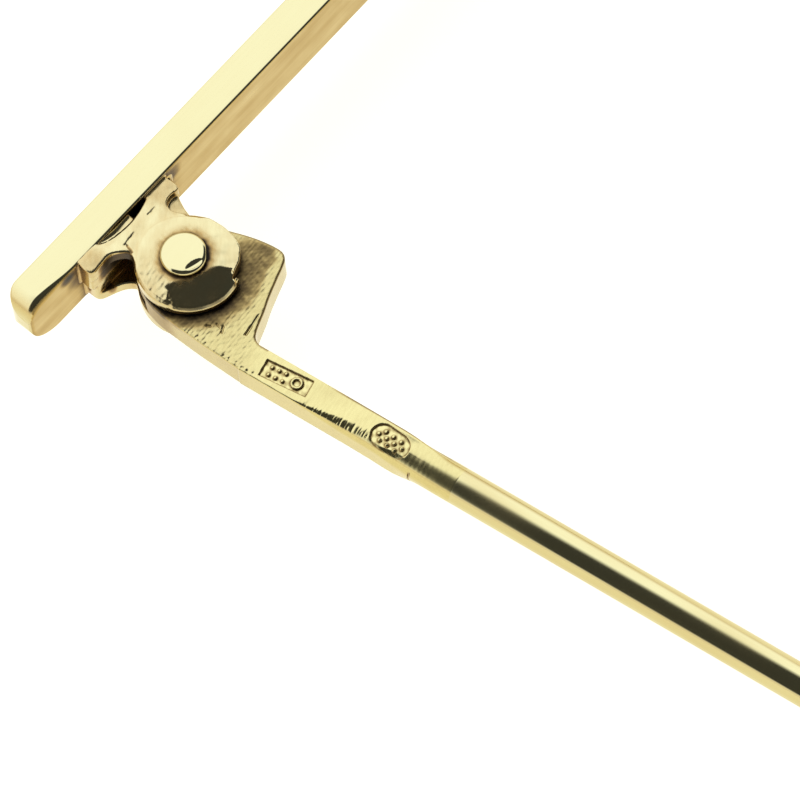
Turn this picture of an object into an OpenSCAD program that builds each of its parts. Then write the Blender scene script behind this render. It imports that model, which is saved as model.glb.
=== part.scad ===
// Pearl bar brooch in gold, lying on its side with the pin open.
// X runs along the bar to the catch, Y towards the pearl, and Z up along the hinge rivet.
// Each piece is drawn about the rivet's axis. place() then moves it into the part's frame,
// whose origin is on the surface under the middle of the whole brooch.

/* [Bar] */
// Length of the bar
bar_length = 50; // [48:1:60]
// Thickness from the back of the bar to its front
bar_thick = 0.93; // [0.85:0.01:1.1]
// Width between the two polished sides
bar_width = 2; // [1.9:0.05:2.2]
// Length of bar beyond the rivet at the hinge end
bar_overhang = 3.8; // [3.4:0.1:4.4]
// Corner radius of each end, on the front
bar_front_r = 0.5; // [0.2:0.05:0.6]
// Corner radius of each end, on the back
bar_back_r = 0.14; // [0.05:0.01:0.2]
// Corner radius of each end on the upper side, seen from the back
bar_upper_r = 0.6; // [0.3:0.05:0.9]
// Corner radius of each end on the lower side, seen from the back
bar_lower_r = 1; // [0.3:0.05:1]
// Bevel along the four long edges
bar_bevel = 0.06; // [0.03:0.01:0.12]

/* [Hinge saddle] */
// Height of the rivet's axis above the back of the bar
axis_h = 1.9; // [1.85:0.01:1.95]
// Width across the two ears
saddle_width = 1.8; // [1.7:0.02:1.9]
// Thickness of each ear
ear_thick = 0.4; // [0.35:0.01:0.42]
// Radius of the ears
ear_r = 1.38; // [1.3:0.01:1.4]
// Distance of the ears' centre beyond the rivet, away from the bar
ear_lift = 0.12; // [0.05:0.01:0.15]
// Radius of the worn rim round each ear
ear_rim_r = 0.12; // [0.05:0.01:0.15]
// Slope of the facet worn on the upper ear
facet_slope = 12; // [8:1:14]
// Rise of the arch under the saddle
arch_rise = 0.2; // [0.1:0.01:0.24]
// Height of the slot's floor under the tongue
slot_floor_h = 0.42; // [0.38:0.01:0.44]

/* [Rivet] */
// Radius of the rivet
rivet_r = 0.35; // [0.3:0.01:0.4]
// Radius of each hammered head
head_r = 0.6; // [0.5:0.01:0.7]
// Height of each head above its ear
head_rise = 0.2; // [0.1:0.01:0.25]
// Gap round the rivet in the ears and under its heads
rivet_gap = 0.02; // [0.01:0.01:0.04]

/* [Pin] */
// Angle between the open pin and the bar
open_angle = 82.35; // [70:0.1:95]
// Length of the pin, from the rivet to the point
pin_length = 43; // [41:0.5:44]
// Radius of the round wire
wire_r = 0.5; // [0.45:0.01:0.55]
// Distance of the wire's axis from the rivet's axis
wire_offset = 1.31; // [1.28:0.01:1.34]
// Length of the taper at the point
taper_length = 4; // [3:0.5:6]
// Radius of the blunted point
point_r = 0.1; // [0.06:0.01:0.15]
// Thickness of the tongue and of the filed shank
tongue_thick = 0.92; // [0.86:0.01:0.96]
// Height of the filed shank
shank_height = 0.85; // [0.8:0.01:0.9]
// Distance from the rivet to the seam between shank and wire
seam_p = 7.9; // [7.8:0.1:9]
// Gap round the rivet in the tongue
tongue_gap = 0.03; // [0.02:0.01:0.06]

/* [Punched panels] */
// Depth of the two punched panels
panel_depth = 0.06; // [0.03:0.01:0.1]
// Length of the rectangular panel
box_panel_l = 1.35; // [1.2:0.05:1.5]
// Length of the oval panel
oval_panel_l = 1.08; // [1:0.02:1.2]
// Height of the rectangular panel
box_panel_h = 0.5; // [0.4:0.02:0.56]
// Height of the oval panel
oval_panel_h = 0.62; // [0.5:0.02:0.64]

/* [Catch] */
// Distance from the rivet to the middle of the catch
catch_x = 38.2; // [37:0.1:38.5]
// Width of the catch's strip
catch_width = 1.6; // [1.2:0.1:2]
// Thickness of the catch's strip
catch_thick = 0.45; // [0.35:0.01:0.5]
// Radius inside the hook
hook_r = 0.6; // [0.56:0.01:0.65]
// Height of the hook's centre above the back of the bar
hook_h = 2.2; // [2:0.05:2.25]

/* [Pearl] */
// Diameter of the pearl
pearl_d = 4.5; // [4:0.1:5]
// Radius of the cup that the pearl sits in
cup_r = 1.6; // [1.4:0.05:1.8]
// Thickness of the cup under the pearl
cup_floor = 0.3; // [0.2:0.05:0.5]
// Radius of the peg in the pearl
peg_r = 0.35; // [0.3:0.01:0.45]
// Length of the peg inside the pearl
peg_length = 2.1; // [1.5:0.1:2.4]
// Gap between the pearl and its cup and peg
pearl_gap = 0.03; // [0.02:0.01:0.05]

/* [Hidden] */
$fn = 64;
eps = 0.01;
reach = 10;
gold = [0.93, 0.85, 0.55];
polished_gold = [0.97, 0.94, 0.72];
nacre = [0.94, 0.91, 0.85];

bar_back_y = axis_h;
bar_front_y = axis_h + bar_thick;
bar_mid_x = bar_length / 2 - bar_overhang;
slot_width = saddle_width - 2 * ear_thick;
pearl_r = pearl_d / 2;
pearl_y = bar_front_y + cup_floor + pearl_r;
point_p = pin_length - point_r;

// Places of the two panels along the pin, and how the rectangular one sits askew.
box_panel_p = 3.98;
box_panel_turn = 4;
box_panel_lift = 0.05;
oval_panel_p = 7.12;

// The box round the brooch in Y runs from the pin's point to the front of the pearl.
low_y = -point_p * sin(open_angle) - wire_offset * cos(open_angle) - point_r;
mid_y = (low_y + pearl_y + pearl_r) / 2;

// Outlines of the saddle's feet and waist: a along the bar from the rivet, h above the bar.
// The upper half is notched behind both feet, and the lower half has plain fillets.
upper_rows = [
    [-1.92, 0.02], [-1.95, 0.3], [-1.86, 0.47], [-1.55, 0.46], [-1.22, 0.45], [-0.99, 0.57],
    [-0.83, 0.78], [-0.92, 1.02], [-1.12, 1.33], [-0.7, 1.7], [0.7, 1.7], [0.9, 1.2],
    [0.84, 0.98], [0.76, 0.76], [0.86, 0.54], [1.1, 0.48], [1.33, 0.52], [1.4, 0.3], [1.36, 0.02]
];
lower_rows = [
    [-1.8, 0.02], [-1.8, 0.3], [-1.71, 0.45], [-1.43, 0.58], [-1.15, 0.72], [-0.95, 0.95],
    [-0.98, 1.2], [-0.7, 1.7], [0.7, 1.7], [1.0, 1.25], [1.12, 0.9], [1.24, 0.62], [1.38, 0.43],
    [1.48, 0.24], [1.56, 0.02]
];

// Tongue outline, from its round back along the lower edge: p along the pin, q towards the bar.
lower_edge_rows = [
    [-0.49, -1.2], [-0.25, -1.36], [0.25, -1.5], [1.39, -1.63], [2.09, -1.68], [2.73, -1.72],
    [3.2, -1.735]
];
shoulder_rows = [
    [3.2, -0.885], [2.9, -0.89], [2.69, -0.8], [2.57, -0.57], [2.45, -0.06], [2.33, 0.37],
    [2.22, 0.88], [2.14, 1.28], [2.07, 1.47], [1.92, 1.59], [1.64, 1.61], [1.25, 1.57], [0.9, 1.5],
    [0.46, 1.38], [0, 1.26]
];
tongue_back_r = 1.26;

// One point of a smooth curve between b and c, with a before and d after them.
function blend_point(a, b, c, d, t) =
    0.5 * (2 * b + (c - a) * t + (2 * a - 5 * b + 4 * c - d) * t * t
    + (3 * b - a - 3 * c + d) * t * t * t);

// A smooth curve through the rows, with a few steps between two of them.
function smooth(rows, steps = 4) = [
    for (i = [0:len(rows) - 2]) for (k = [0:steps - 1])
        blend_point(rows[max(i - 1, 0)], rows[i], rows[i + 1], rows[min(i + 2, len(rows) - 1)],
            k / steps),
    rows[len(rows) - 1]
];

// Moves a piece from the rivet's axis into the part's frame.
module place() {
    translate([-bar_mid_x, -mid_y, pearl_r]) children();
}

// Turns a piece of the closed pin to where the open pin lies.
module opened() {
    rotate([0, 0, -open_angle]) children();
}

// Extrudes an outline in X and Y by equal amounts to both sides.
module slab(thick) {
    translate([0, 0, -thick / 2]) linear_extrude(thick) children();
}

// Draws in a and h: along the bar from the rivet, and away from its back.
module from_bar() {
    translate([0, bar_back_y]) mirror([0, 1]) children();
}

// What a round corner takes off a square one at the origin.
module corner_waste(r) {
    difference() {
        translate([-eps, -eps]) square(r + eps);
        translate([r, r]) circle(r);
    }
}

// Outline of a rectangle of l by h with corner radius low_r below and high_r above.
module rounded_rectangle(l, h, low_r, high_r) {
    difference() {
        square([l, h]);
        corner_waste(low_r);
        translate([l, 0]) mirror([1, 0]) corner_waste(low_r);
        translate([0, h]) mirror([0, 1]) corner_waste(high_r);
        translate([l, h]) mirror([1, 0]) mirror([0, 1]) corner_waste(high_r);
    }
}

// Cross-section of the bar with its bevels.
module bar_section() {
    w = bar_width / 2;
    b = bar_bevel;
    polygon([
        [-w + b, 0], [w - b, 0], [w, b], [w, bar_thick - b],
        [w - b, bar_thick], [-w + b, bar_thick], [-w, bar_thick - b], [-w, b]
    ]);
}

// The bar: its section along X, cut to the outline of its ends.
module bar() {
    intersection() {
        translate([-bar_overhang, bar_back_y, 0])
            rotate([0, 90, 0]) linear_extrude(bar_length) bar_section();
        slab(reach) translate([-bar_overhang, bar_back_y])
            rounded_rectangle(bar_length, bar_thick, bar_back_r, bar_front_r);
        translate([-bar_overhang, bar_front_y + 1, -bar_width / 2]) rotate([90, 0, 0])
            linear_extrude(bar_thick + 2)
            rounded_rectangle(bar_length, bar_width, bar_lower_r, bar_upper_r);
    }
}

// One half of the saddle's feet and waist, over a low arch.
module saddle_half(rows) {
    arch_half = 0.93;
    arch_mid = -0.23;
    arch_r = (arch_half * arch_half + arch_rise * arch_rise) / (2 * arch_rise);
    last = rows[len(rows) - 1];
    linear_extrude(saddle_width / 2) from_bar() difference() {
        polygon(concat(smooth(rows), [[last[0], -0.02], [rows[0][0], -0.02]]));
        translate([arch_mid, arch_rise - arch_r]) circle(arch_r);
    }
}

// Outline of the space for the tongue: a floor that drops where the shoulder comes down.
module slot_outline() {
    low_floor_h = 0.2;
    end_a = 2;
    from_bar() polygon([
        [-reach, slot_floor_h], [0.3, slot_floor_h], [1.5, low_floor_h], [end_a, low_floor_h],
        [end_a, reach], [-reach, reach]
    ]);
}

// A disc with a worn round rim on its upper face.
module disc(r, thick, rim_r) {
    rotate_extrude() difference() {
        square([r, thick]);
        translate([r, thick]) rotate(180) corner_waste(rim_r);
    }
}

// What wear has taken off the upper ear: a slope away from the rivet that ends at a step.
module facet_waste() {
    facet_way = 118;
    step_way = 68;
    facet_from = 0.64;
    intersection() {
        rotate(-facet_way) translate([facet_from, 0, saddle_width / 2]) rotate([0, facet_slope, 0])
            translate([0, -reach / 2, 0]) cube(reach);
        rotate(-step_way) translate([-reach / 2, -reach, 0]) cube(reach);
    }
}

// The hinge saddle: feet, waist and two ears, cut by the slot and bored for the rivet.
module hinge_saddle() {
    difference() {
        union() {
            saddle_half(upper_rows);
            mirror([0, 0, 1]) saddle_half(lower_rows);
            difference() {
                translate([0, -ear_lift, slot_width / 2]) disc(ear_r, ear_thick, ear_rim_r);
                facet_waste();
            }
            translate([0, -ear_lift, -slot_width / 2]) mirror([0, 0, 1])
                disc(ear_r, ear_thick, ear_rim_r);
        }
        slab(slot_width) slot_outline();
        cylinder(r = rivet_r + rivet_gap, h = 2 * saddle_width, center = true);
    }
}

// Cross-section of the catch, across the bar: a foot, a riser and a hook.
module catch_section() {
    outer = hook_r + catch_thick;
    lip_angle = 12;
    lip_mid = hook_r + catch_thick / 2;
    foot_l = 1.55;
    foot_thick = 0.3;
    translate([-outer, -eps]) square([foot_l, foot_thick + eps]);
    translate([-outer, -eps]) square([catch_thick, hook_h + 2 * eps]);
    translate([0, hook_h]) {
        difference() {
            circle(outer);
            circle(hook_r);
            translate([-outer, -2 * outer]) square(2 * outer);
            rotate(lip_angle) translate([0, -2 * outer]) square(2 * outer);
        }
        rotate(lip_angle) translate([lip_mid, 0]) circle(catch_thick / 2);
    }
}

// The catch: a strip bent into a plain hook that opens to the upper side.
module catch_hook() {
    top_h = hook_h + hook_r + catch_thick;
    corner_r = 0.35;
    intersection() {
        translate([catch_x - catch_width / 2, bar_back_y, 0]) rotate([0, -90, 180])
            linear_extrude(catch_width) catch_section();
        slab(reach) translate([catch_x - catch_width / 2, bar_back_y - top_h])
            rounded_rectangle(catch_width, top_h + eps, corner_r, eps);
    }
}

// The cup, hollowed to the pearl, with the peg that the pearl is glued on.
module pearl_cup() {
    rim_width = 0.1;
    seat_r = cup_r - rim_width;
    rim_h = cup_floor + pearl_r - sqrt(pearl_r * pearl_r - seat_r * seat_r);
    translate([bar_mid_x, bar_front_y, 0]) rotate([-90, 0, 0]) {
        difference() {
            translate([0, 0, -eps]) cylinder(r = cup_r, h = rim_h + eps);
            translate([0, 0, cup_floor + pearl_r]) sphere(pearl_r + pearl_gap);
        }
        cylinder(r = peg_r, h = cup_floor + peg_length);
    }
}

// All the soldered gold work, which is one solid.
module bar_frame() {
    color(gold) place() {
        bar();
        hinge_saddle();
        catch_hook();
        pearl_cup();
    }
}

// The rivet, with a low head hammered over each ear.
module hinge_rivet() {
    head_z = saddle_width / 2 + rivet_gap;
    head_edge_r = head_rise * 0.7;
    color(polished_gold) place() {
        cylinder(r = rivet_r, h = 2 * head_z + eps, center = true);
        for (side = [0, 1]) mirror([0, 0, side]) translate([0, 0, head_z])
            disc(head_r, head_rise, head_edge_r);
    }
}

// Outline of the tongue and its shoulder.
module tongue_outline() {
    polygon(concat(smooth(lower_edge_rows), smooth(shoulder_rows)));
    circle(tongue_back_r);
}

// A rectangular panel punched into the filed face, with a plain ring and six pips.
module box_panel() {
    ring_r = 0.17;
    ring_hole_r = 0.09;
    pip_r = 0.05;
    difference() {
        translate([-box_panel_l / 2, -box_panel_h / 2]) square([box_panel_l, box_panel_h]);
        translate([0.3, 0]) difference() {
            circle(ring_r);
            circle(ring_hole_r);
        }
        for (x = [-0.46, -0.26, -0.06], y = [-0.11, 0.11]) translate([x, y]) circle(pip_r);
    }
}

// An oval panel punched into the filed face, with three rows of plain pips.
module oval_panel() {
    half = (oval_panel_l - oval_panel_h) / 2;
    pip_r = 0.055;
    difference() {
        union() {
            translate([-half, -oval_panel_h / 2]) square([2 * half, oval_panel_h]);
            for (side = [-1, 1]) translate([side * half, 0]) circle(oval_panel_h / 2);
        }
        for (x = [-1:1], y = [-1, 1]) translate([0.24 * x, 0.12 * y]) circle(pip_r);
        for (x = [-0.36, -0.12, 0.12, 0.36]) translate([x, 0]) circle(pip_r);
    }
}

// The pin in one piece: tongue, filed shank, round wire and point.
module pin_stem() {
    face_z = tongue_thick / 2;
    shank_p = 3.1;
    wire_root = 0.2;
    color(gold) place() opened() difference() {
        union() {
            slab(tongue_thick) tongue_outline();
            translate([shank_p, -wire_offset - shank_height / 2, -tongue_thick / 2])
                cube([seam_p - shank_p, shank_height, tongue_thick]);
            translate([0, -wire_offset, 0]) rotate([0, 90, 0]) {
                translate([0, 0, seam_p - wire_root])
                    cylinder(r = wire_r, h = pin_length - taper_length - seam_p + wire_root);
                translate([0, 0, pin_length - taper_length])
                    cylinder(r1 = wire_r, r2 = point_r, h = taper_length - point_r);
                translate([0, 0, point_p]) sphere(point_r);
            }
        }
        cylinder(r = rivet_r + tongue_gap, h = 2 * tongue_thick, center = true);
        translate([box_panel_p, box_panel_lift - wire_offset, face_z - panel_depth])
            rotate(box_panel_turn) linear_extrude(1) box_panel();
        translate([oval_panel_p, -wire_offset, face_z - panel_depth])
            linear_extrude(1) oval_panel();
    }
}

// The pearl, drilled from the back for its peg.
module pearl() {
    spare_depth = 0.2;
    color(nacre) place() translate([bar_mid_x, pearl_y, 0]) rotate([-90, 0, 0]) difference() {
        sphere(pearl_r);
        translate([0, 0, -pearl_r - 1])
            cylinder(r = peg_r + pearl_gap, h = 1 + peg_length + spare_depth);
    }
}

bar_frame();
hinge_rivet();
pin_stem();
pearl();
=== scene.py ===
"""Looks of a gold bar brooch with a pearl, lying on its side with its pin open.

Sizes are in millimetres in the maker's own axes and become metres in the part's frame when a
mesh is made. The brooch's axes start under the rivet on the back of the bar: a runs along the
bar to the catch, h away from the back of the bar, and z up along the rivet. The pin's axes
start in the rivet: p runs along the pin, q towards the bar when it is closed, and z up.
"""

import logging
import math
from collections.abc import Callable, Sequence
from dataclasses import dataclass, field
from enum import Enum
from functools import partial
from typing import Any

import bpy
import numpy as np
from mathutils import Matrix, Vector


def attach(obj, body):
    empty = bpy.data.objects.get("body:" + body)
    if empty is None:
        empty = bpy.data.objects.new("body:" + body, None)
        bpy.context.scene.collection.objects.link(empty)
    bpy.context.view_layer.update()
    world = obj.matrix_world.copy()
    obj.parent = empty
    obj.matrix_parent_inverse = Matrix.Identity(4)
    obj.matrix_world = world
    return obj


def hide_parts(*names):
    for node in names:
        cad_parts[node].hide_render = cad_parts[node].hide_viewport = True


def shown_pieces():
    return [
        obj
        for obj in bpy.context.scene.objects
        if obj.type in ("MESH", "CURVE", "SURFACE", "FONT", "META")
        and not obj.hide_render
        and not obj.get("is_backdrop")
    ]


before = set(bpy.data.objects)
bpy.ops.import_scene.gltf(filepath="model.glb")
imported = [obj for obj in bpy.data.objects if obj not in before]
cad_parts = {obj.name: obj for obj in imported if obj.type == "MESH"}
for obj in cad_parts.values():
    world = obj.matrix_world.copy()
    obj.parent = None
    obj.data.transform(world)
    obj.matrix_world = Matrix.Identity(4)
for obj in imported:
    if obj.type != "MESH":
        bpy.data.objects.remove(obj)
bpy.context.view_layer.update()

Array = np.ndarray
Rows = Sequence[tuple[float, float]]
Field = Callable[[Array, Array, Array], Array]
Colour = tuple[float, float, float, float]
Table = tuple[tuple[float, ...], ...]
Material = bpy.types.Material
NodeMaker = Callable[..., bpy.types.Node]

log = logging.getLogger("pearl_bar_brooch")


class Body(Enum):
    """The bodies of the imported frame: the brooch, and the pin that swings on it."""

    BROOCH = "brooch"
    PIN = "pin"


class Slot(Enum):
    """The record's material slots."""

    SOLDERED = "soldered_gold"
    POLISHED = "polished_gold"
    DRAWN = "drawn_gold"
    NACRE = "nacre"


def linear(hex_colour: str) -> Colour:
    """Turns an sRGB hex colour into Blender's linear colour.

    Args:
        hex_colour: Six hex digits after a hash sign.

    Returns:
        Linear red, green and blue, and an alpha of one.
    """
    shares = [int(hex_colour[i : i + 2], 16) / 255 for i in (1, 3, 5)]
    r, g, b = (s / 12.92 if s <= 0.04045 else ((s + 0.055) / 1.055) ** 2.4 for s in shares)
    return (r, g, b, 1.0)


def smoothstep(low: float, high: float, value: Array) -> Array:
    """Rises smoothly from 0 at low to 1 at high, which may be the smaller of the two."""
    t = np.clip((value - low) / (high - low), 0, 1)
    return t * t * (3 - 2 * t)


# --- Distance fields: negative inside the metal, in millimetres ---


def soft_union(one: Array, other: Array, width: float) -> Array:
    """Joins two solids with a fillet of that width, as solder does."""
    share = np.clip(0.5 + 0.5 * (other - one) / width, 0, 1)
    return other + (one - other) * share - width * share * (1 - share)


def soft_cut(solid: Array, tool: Array, width: float) -> Array:
    """Cuts a tool's shape out of a solid and eases the edge over that width."""
    return -soft_union(-solid, tool, width)


def outline_distance(rows: Array, x: Array, y: Array) -> Array:
    """Distance to a closed outline, negative inside.

    Args:
        rows: Corner points of the outline.
        x, y: Coordinates.

    Returns:
        Signed distances in the outline's plane.
    """
    x, y = np.broadcast_arrays(x, y)
    near = np.full(x.shape, np.inf)
    inside = np.zeros(x.shape, bool)
    for (x0, y0), (x1, y1) in zip(rows, np.roll(rows, -1, axis=0)):
        ex, ey = x1 - x0, y1 - y0
        wx, wy = x - x0, y - y0
        t = np.clip((wx * ex + wy * ey) / max(ex * ex + ey * ey, 1e-12), 0, 1)
        near = np.minimum(near, (wx - ex * t) ** 2 + (wy - ey * t) ** 2)
        if y0 != y1:
            inside ^= ((y0 > y) != (y1 > y)) & (wx < ex * wy / ey)
    return np.where(inside, -1, 1) * np.sqrt(near)


def slab(plan: Array, z: Array, low: Array | float, high: Array | float, edge: float) -> Array:
    """Gives an outline thickness along z, with rounded edges.

    Args:
        plan: Distance to the outline in its plane.
        z: Heights.
        low: Lower face.
        high: Upper face.
        edge: Radius of the edges.

    Returns:
        Distance to the slab.
    """
    across = plan + edge
    along = np.maximum(low - z, z - high) + edge
    outside = np.hypot(np.maximum(across, 0), np.maximum(along, 0))
    return np.minimum(np.maximum(across, along), 0) + outside - edge


def ball(x: Array, y: Array, z: Array, centre: Sequence[float], radii: Sequence[float]) -> Array:
    """Distance to an egg-shaped blob, close enough for solder and dents.

    Args:
        x, y, z: Coordinates.
        centre: Middle of the blob.
        radii: Its three half sizes.

    Returns:
        Approximate signed distances.
    """
    d = [(v - c) for v, c in zip((x, y, z), centre)]
    k0 = np.sqrt(sum((v / r) ** 2 for v, r in zip(d, radii)))
    k1 = np.sqrt(sum((v / (r * r)) ** 2 for v, r in zip(d, radii)))
    return k0 * (k0 - 1) / np.maximum(k1, 1e-9)


def stroke(x: Array, y: Array, z: Array, start: Sequence[float], end: Sequence[float]) -> Array:
    """Distance to a straight line between two points.

    Args:
        x, y, z: Coordinates.
        start: One end.
        end: The other end.

    Returns:
        Distances to the line, zero on it.
    """
    d = np.subtract(end, start)
    w = [v - s for v, s in zip((x, y, z), start)]
    t = np.clip(sum(a * b for a, b in zip(w, d)) / (d @ d), 0, 1)
    return np.sqrt(sum((a - b * t) ** 2 for a, b in zip(w, d)))


def ripple(x: Array, y: Array, z: Array, size: float, seed: int) -> Array:
    """Smooth unevenness, as in cast or hand-filed metal.

    Args:
        x, y, z: Coordinates.
        size: Typical distance from one rise to the next.
        seed: Picks the pattern.

    Returns:
        Values mostly between -1 and 1.
    """
    rng = np.random.default_rng(seed)
    total = 0.0
    for _ in range(7):
        way = rng.normal(size=3)
        way *= 2 * math.pi / (size * rng.uniform(0.7, 1.6) * np.linalg.norm(way))
        total = total + np.sin(x * way[0] + y * way[1] + z * way[2] + rng.uniform(0, 6.28))
    return total / 3.2


def smooth_rows(rows: Rows, steps: int = 4) -> Array:
    """Draws a smooth line through the rows.

    Args:
        rows: Points of the line.
        steps: Steps between two points.

    Returns:
        The points of the smooth line.
    """
    pts = np.array(rows, float)
    ends = len(pts) - 1
    line = []
    for i in range(ends):
        a, b, c, d = pts[max(i - 1, 0)], pts[i], pts[i + 1], pts[min(i + 2, ends)]
        for k in range(steps):
            t = k / steps
            bend = (2 * a - 5 * b + 4 * c - d) * t * t + (3 * b - a - 3 * c + d) * t**3
            line.append(0.5 * (2 * b + (c - a) * t + bend))
    return np.array([*line, pts[-1]])


# --- Meshes ---


@dataclass(frozen=True)
class Axes:
    """The axes that a piece is drawn in, given in the part's frame in millimetres."""

    along: tuple[float, float, float]
    across: tuple[float, float, float]
    origin: tuple[float, float, float]

    @property
    def rows(self) -> Array:
        """The three axes as the rows of a matrix."""
        return np.array([self.along, self.across, (0.0, 0.0, 1.0)])

    @property
    def mirrored(self) -> bool:
        """True where the axes are left-handed."""
        return bool(np.linalg.det(self.rows) < 0)

    def place(self, points: Array) -> Array:
        """Points in the part's frame, still in millimetres."""
        return points @ self.rows + np.array(self.origin)

    def pull(self, points: Array) -> Array:
        """Points of the part's frame in these axes."""
        return (points - np.array(self.origin)) @ self.rows.T


RIVET_X, RIVET_Y, RIVET_Z = -21.2, 17.5813, 2.25
AXIS_H = 1.9
OPEN_ANGLE = math.radians(82.35)
BROOCH_AXES = Axes((1, 0, 0), (0, -1, 0), (RIVET_X, RIVET_Y + AXIS_H, RIVET_Z))
PIN_AXES = Axes(
    (math.cos(OPEN_ANGLE), -math.sin(OPEN_ANGLE), 0),
    (math.sin(OPEN_ANGLE), math.cos(OPEN_ANGLE), 0),
    (RIVET_X, RIVET_Y, RIVET_Z),
)


@dataclass
class Shell:
    """A surface: its points in the maker's axes, its four-sided faces and its flat ends."""

    points: Array
    faces: Array
    ends: list[Array] = field(default_factory=list)

    def normals(self) -> Array:
        """Works out the direction that each point faces.

        Returns:
            Unit vectors, one for each point.
        """
        a, b, c, d = (self.points[self.faces[:, i]] for i in range(4))
        turned = np.cross(c - a, d - b)
        out = np.zeros_like(self.points)
        for i in range(4):
            for n in range(3):
                out[:, n] += np.bincount(self.faces[:, i], turned[:, n], len(out))
        return out / np.maximum(np.linalg.norm(out, axis=1, keepdims=True), 1e-12)


def spaced(stops: Sequence[tuple[float, float]], last: float) -> Array:
    """Grid lines with a spacing of their own for each stretch.

    Args:
        stops: Where each stretch starts, and its spacing.
        last: Where the last stretch ends.

    Returns:
        The positions of the grid lines.
    """
    lines = []
    ends = [s[0] for s in stops[1:]] + [last]
    for (start, step), end in zip(stops, ends):
        lines.append(np.linspace(start, end, max(2, round((end - start) / step) + 1))[:-1])
    return np.append(np.concatenate(lines), last)


def slope_at(shape: Field, points: Array, step: float = 2e-3) -> Array:
    """The gradient of a field.

    Args:
        shape: The distance field.
        points: Where it is wanted.
        step: Half the distance between the two readings.

    Returns:
        The gradient at each point.
    """
    x, y, z = points.T
    ways = []
    for i in range(3):
        hi, lo = [x, y, z], [x, y, z]
        hi[i], lo[i] = hi[i] + step, lo[i] - step
        ways.append((shape(*hi) - shape(*lo)) / (2 * step))
    return np.column_stack(ways)


def skin(shape: Field, x: Array, y: Array, z: Array) -> Shell:
    """Finds the surface where a distance field crosses zero.

    Args:
        shape: The distance field.
        x, y, z: Grid lines of the three axes.

    Returns:
        A closed surface of four-sided faces.
    """
    lines = (x, y, z)
    size = tuple(len(v) for v in lines)
    value = np.broadcast_to(shape(x[:, None, None], y[None, :, None], z[None, None, :]), size)
    inner = value < 0
    cells = tuple(n - 1 for n in size)
    count = sum(
        inner[i : i + cells[0], j : j + cells[1], k : k + cells[2]].astype(np.int8)
        for i, j, k in np.ndindex(2, 2, 2)
    )
    mixed = (count > 0) & (count < 8)
    number = np.full(cells, -1)
    number[mixed] = np.arange(mixed.sum())
    total, hits = np.zeros((mixed.sum(), 3)), np.zeros(mixed.sum())
    faces = []
    for axis in range(3):
        near = np.moveaxis(value, axis, 0)
        a, b = near[:-1], near[1:]
        where = np.argwhere((a < 0) != (b < 0))
        va, vb = a[tuple(where.T)], b[tuple(where.T)]
        order = [axis] + [n for n in range(3) if n != axis]
        index = np.empty_like(where)
        index[:, order] = where
        t = va / (va - vb)
        point = np.column_stack([lines[n][index[:, n]] for n in range(3)])
        step = lines[axis][index[:, axis] + 1] - lines[axis][index[:, axis]]
        point[:, axis] += t * step
        one, two = (axis + 1) % 3, (axis + 2) % 3
        ring = []
        for back_one, back_two in ((1, 1), (0, 1), (0, 0), (1, 0)):
            cell = index.copy()
            cell[:, one] -= back_one
            cell[:, two] -= back_two
            ids = number[tuple(cell.T)]
            for n in range(3):
                total[:, n] += np.bincount(ids, point[:, n], len(total))
            hits += np.bincount(ids, minlength=len(total))
            ring.append(ids)
        quads = np.column_stack(ring)
        flip = va > 0
        quads[flip] = quads[flip, ::-1]
        faces.append(quads)
    points = total / hits[:, None]
    reach = 0.6 * min(float(np.diff(v).min()) for v in lines)
    for _ in range(3):
        off = shape(*points.T)
        way = slope_at(shape, points)
        move = -way * (off / np.maximum((way**2).sum(1), 0.05))[:, None]
        far = np.linalg.norm(move, axis=1, keepdims=True)
        points = points + move * np.minimum(1, reach / np.maximum(far, 1e-9))
    return Shell(points, np.concatenate(faces))


def shelter(solid: Field, shell: Shell, reaches: Sequence[float]) -> Array:
    """How far each point is shut in by metal, where a polishing cloth can't reach.

    The pieces darken by it, as grime and as painted shade.

    Args:
        solid: Distance to everything near.
        shell: The surface that is tested.
        reaches: How far out to look.

    Returns:
        0 in the open to 1 deep in a crevice.
    """
    out = shell.normals()
    shut = np.zeros(len(shell.points))
    for reach in reaches:
        gap = solid(*(shell.points + out * reach).T)
        shut += 1 - np.clip(gap / reach, 0, 1)
    return shut / len(reaches)


def make_piece(
    name: str,
    body: Body,
    slot: Slot,
    shell: Shell,
    patina_and_shade: Array | None,
    *finishes: Material,
    choice: Array | None = None,
    stands_for: str | None = None,
) -> None:
    """Makes a piece, fixes it to its body and hides the CAD node that it stands for.

    Args:
        name: Name of the piece.
        body: The body that it moves with, in whose axes it is drawn.
        slot: The record's slot for its finish; not used.
        shell: Its surface.
        patina_and_shade: How dark each point is by tarnish and painted shade, for gold finishes.
        finishes: Its materials.
        choice: Which material each four-sided face has, the first where it is left out.
        stands_for: The CAD node that it replaces, if any.
    """
    axes = BROOCH_AXES if body is Body.BROOCH else PIN_AXES
    turn = -1 if axes.mirrored else 1
    faces = shell.faces[:, ::turn].tolist() + [e[::turn].tolist() for e in shell.ends]
    mesh = bpy.data.meshes.new(name)
    mesh.from_pydata((axes.place(shell.points) / 1000).tolist(), [], faces)
    if patina_and_shade is not None:
        layer = mesh.attributes.new("patina_and_shade", "FLOAT", "POINT")
        layer.data.foreach_set("value", np.asarray(patina_and_shade, np.float32))
    for finish in finishes:
        mesh.materials.append(finish)
    if choice is not None:
        picked = np.append(choice, np.zeros(len(shell.ends)))
        mesh.polygons.foreach_set("material_index", picked.astype(np.int32))
    mesh.shade_smooth()
    mesh.update()
    piece = bpy.data.objects.new(name, mesh)
    bpy.context.scene.collection.objects.link(piece)
    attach(piece, body.value)
    if stands_for:
        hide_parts(stands_for)


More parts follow.
